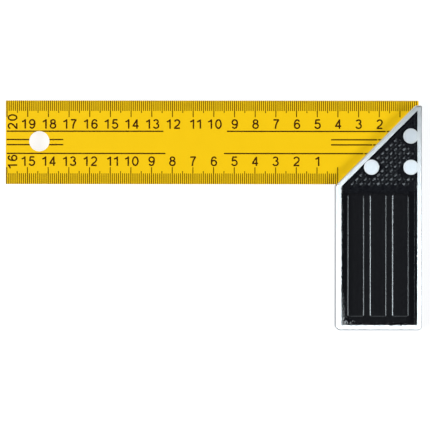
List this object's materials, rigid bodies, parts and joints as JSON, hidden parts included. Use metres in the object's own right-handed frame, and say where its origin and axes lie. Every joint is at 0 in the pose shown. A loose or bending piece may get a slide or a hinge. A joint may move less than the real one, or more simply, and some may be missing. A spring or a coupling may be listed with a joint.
{
  "type": "try square",
  "caption": "Fixed 90 degree square with a flat printed steel blade let into a mitred cast stock and riveted, for marking and checking right angles and mitres.",
  "frame": {"origin": "middle of the box around the square, on the face it lies on", "axes": "+X along the blade towards the stock, +Y towards the blade's outer edge, +Z out of the printed face"},
  "size_m": [0.2006, 0.1106, 0.014],
  "materials": {
    "stock_casting": "satin",
    "blade_lacquer": "satin",
    "rivet_steel": "satin"
  },
  "bodies": {
    "root": {"stock": "stock_casting", "blade": "blade_lacquer", "rivet_top": "rivet_steel", "rivet_outer": "rivet_steel", "rivet_inner": "rivet_steel"}
  },
  "joints": []
}
